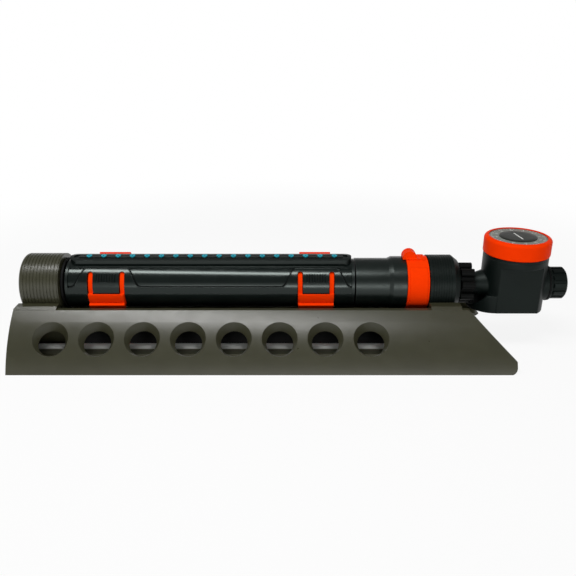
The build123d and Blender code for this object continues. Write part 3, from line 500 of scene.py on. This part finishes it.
def rib_end(name, side):
    """Rounded end of a floor rib, carried on under the left deck as the first hole shows it."""
    section = [(-RIB_R, RIB_FOOT_Z)]
    section += [(-RIB_R * math.cos(a), RIB_CENTRE_Z + RIB_R * math.sin(a)) for a in RIB_ARC]
    section.append((RIB_R, RIB_FOOT_Z))
    steps = [(RIB_START_X, 1.0)]
    steps += [(RIB_ROUND_X - RIB_R * math.sin(a), math.cos(a)) for a in RIB_ARC[:RIB_END_STEPS]]
    work = bmesh.new()
    rows = []
    for x, width in steps:
        tall = RIB_END_HEIGHT + (1 - RIB_END_HEIGHT) * width
        spots = [(x, side * RIB_Y + y * width, RIB_FOOT_Z + (z - RIB_FOOT_Z) * tall) for y, z in section]
        rows.append([work.verts.new(spot) for spot in spots])
    capped_skin(work, rows)
    # The rib ends carry the floor's painted shade and painted highlights.
    piece(name, to_mesh(name, work), "floor_painted_light", "base")


def neck_ring():
    """Rubber ring in the groove of the inlet neck."""
    work = bmesh.new()
    turn = Matrix.Translation((NECK_RING_X, 0, AXIS_Z)) @ Matrix.Rotation(math.pi / 2, 4, "Y")
    rows = []
    for i in range(NECK_SEGMENTS):
        a = math.tau * i / NECK_SEGMENTS
        row = []
        for j in range(NECK_SIDES):
            b = math.tau * j / NECK_SIDES
            spot = polar(NECK_RING_R + NECK_CORD_R * math.cos(b), a, NECK_CORD_R * math.sin(b))
            row.append(work.verts.new(turn @ spot))
        rows.append(row)
    skin(work, rows + rows[:1])
    piece("neck_ring", to_mesh("neck_ring", work, True), "black_rubber", "base")


def foot_screws():
    """Four cross-head screws in the foot of the timer."""
    for i, (x, y) in enumerate(SCREW_SPOTS):
        head = Vector((x, y, TIMER_FOOT_Z - SCREW_HEAD))
        work = spun(SCREW_PROFILE, head, SCREW_SEGMENTS)
        for turn in (0.0, math.pi / 2):
            bar(work, head, turn, SCREW_SLOT)
        piece(f"timer_screw_{i + 1}", to_mesh(f"timer_screw_{i + 1}", work), "steel", "base")


def hose_thread():
    """Internal thread of the hose nut as one winding ridge that runs out at both ends."""
    work = bmesh.new()
    count = THREAD_TURNS * THREAD_STEPS
    rows = []
    for i in range(count + 1):
        a = math.tau * i / THREAD_STEPS
        x = THREAD_X + THREAD_PITCH * i / THREAD_STEPS
        fade = max(THREAD_LEAST, min(1.0, 2 * i / THREAD_STEPS, 2 * (count - i) / THREAD_STEPS))
        crest = THREAD_R - THREAD_DEPTH * fade
        section = (
            (THREAD_R, -THREAD_ROOT_HALF),
            (crest, -THREAD_CREST_HALF),
            (crest, THREAD_CREST_HALF),
            (THREAD_R, THREAD_ROOT_HALF),
        )
        spots = [(x + dx, r * math.cos(a), AXIS_Z + r * math.sin(a)) for r, dx in section]
        rows.append([work.verts.new(spot) for spot in spots])
    capped_skin(work, rows)
    piece("hose_thread", to_mesh("hose_thread", work, True), "black_plastic", "inlet_nut")


def background_mix(tree, plain, bright):
    """Mixes to a bright shader for camera, glossy and transmitted rays."""
    path = node(tree, "ShaderNodeLightPath", (-600, 300))
    first = operator(tree, "ShaderNodeMath", "MAXIMUM", (-400, 300))
    second = operator(tree, "ShaderNodeMath", "MAXIMUM", (-200, 300))
    mix = node(tree, "ShaderNodeMixShader", (0, 300))
    tree.links.new(path.outputs["Is Camera Ray"], first.inputs[0])
    tree.links.new(path.outputs["Is Glossy Ray"], first.inputs[1])
    tree.links.new(first.outputs[0], second.inputs[0])
    tree.links.new(path.outputs["Is Transmission Ray"], second.inputs[1])
    tree.links.new(second.outputs[0], mix.inputs["Fac"])
    tree.links.new(plain, mix.inputs[1])
    tree.links.new(bright, mix.inputs[2])
    return mix.outputs[0]


def floor_material():
    """Pale floor that fades to pure white away from the object, for the eye and in reflections."""
    material, tree, shader = new_material("floor_white")
    shader.inputs["Base Color"].default_value = (*FLOOR_WHITE, 1)
    shader.inputs["Roughness"].default_value = FLOOR_ROUGHNESS
    shader.inputs["Specular IOR Level"].default_value = FLOOR_SPECULAR
    glow = node(tree, "ShaderNodeEmission", (-300, 0), Strength=1.0)
    coordinates = node(tree, "ShaderNodeTexCoord", (-1100, -200))
    reach = operator(tree, "ShaderNodeVectorMath", "LENGTH", (-900, -200))
    near, far = FADE_REACH
    fade = node(tree, "ShaderNodeMapRange", (-700, -200), From_Min=near, From_Max=far, To_Min=NEAR_WHITE)
    fade.interpolation_type = "SMOOTHSTEP"
    lifted = node(tree, "ShaderNodeMixShader", (-100, 0))
    tree.links.new(coordinates.outputs["Object"], reach.inputs[0])
    tree.links.new(reach.outputs["Value"], fade.inputs["Value"])
    tree.links.new(fade.outputs["Result"], lifted.inputs["Fac"])
    tree.links.new(shader.outputs[0], lifted.inputs[1])
    tree.links.new(glow.outputs[0], lifted.inputs[2])
    shown = background_mix(tree, shader.outputs[0], lifted.outputs[0])
    tree.links.new(shown, tree.nodes["Material Output"].inputs["Surface"])
    return material


def floor():
    """Round floor with an upturned rim that keeps the object's shadow."""
    profile = [(FLOOR_R, 0.0)]
    for i in range(1, RIM_STEPS + 1):
        a = math.pi / 2 * i / RIM_STEPS
        profile.append((FLOOR_R + RIM_R * math.sin(a), RIM_R - RIM_R * math.cos(a)))
    profile.append((FLOOR_R + RIM_R, RIM_TOP))
    work = bmesh.new()
    rows = []
    for r, h in profile:
        rows.append([work.verts.new(polar(r, math.tau * i / FLOOR_SIDES, h)) for i in range(FLOOR_SIDES)])
    work.faces.new(rows[0])
    skin(work, rows)
    mesh = bpy.data.meshes.new("floor")
    work.to_mesh(mesh)
    work.free()
    mesh.materials.append(floor_material())
    added("floor", mesh)


def world():
    """Even, dim studio surroundings above the rim of the floor."""
    made = bpy.data.worlds.new("studio")
    bpy.context.scene.world = made
    made.use_nodes = True
    soft = made.node_tree.nodes["Background"]
    soft.inputs["Color"].default_value = (*WHITE, 1)
    soft.inputs["Strength"].default_value = WORLD_STRENGTH


def area_light(name, place, target, size, watts):
    """Rectangular area light aimed at a point."""
    data = bpy.data.lights.new(name, "AREA")
    data.shape = "RECTANGLE"
    data.size, data.size_y = size
    data.energy = watts
    lamp = added(name, data)
    lamp.location = place
    lamp.rotation_euler = (Vector(target) - Vector(place)).to_track_quat("-Z", "Y").to_euler()


def studio():
    """Floor, surroundings, lights and the camera."""
    floor()
    world()
    area_light("softbox", **SOFTBOX)
    area_light("fill", **FILL)
    camera = added("camera", bpy.data.cameras.new("camera"))
    camera.location = CAMERA_PLACE
    camera.rotation_euler = (math.radians(90 - CAMERA_PITCH), 0, 0)
    camera.data.lens = CAMERA_LENS
    camera.data.sensor_width = CAMERA_SENSOR
    bpy.context.scene.camera = camera
    bpy.context.scene.view_settings.view_transform = "Standard"


dress_frame()
dial()
for flank, side in (("front", -1), ("rear", 1)):
    panel_line(flank + "_panel_edge", side, 0.0, "black_gloss")
    # A matte black line inset into the recess corner is painted shade.
    panel_line(flank + "_panel_shade_line", side, SHADE_LINE_INSET, "black_deep")
rib_end("front_rib_end", -1)
rib_end("rear_rib_end", 1)
neck_ring()
foot_screws()
hose_thread()
studio()
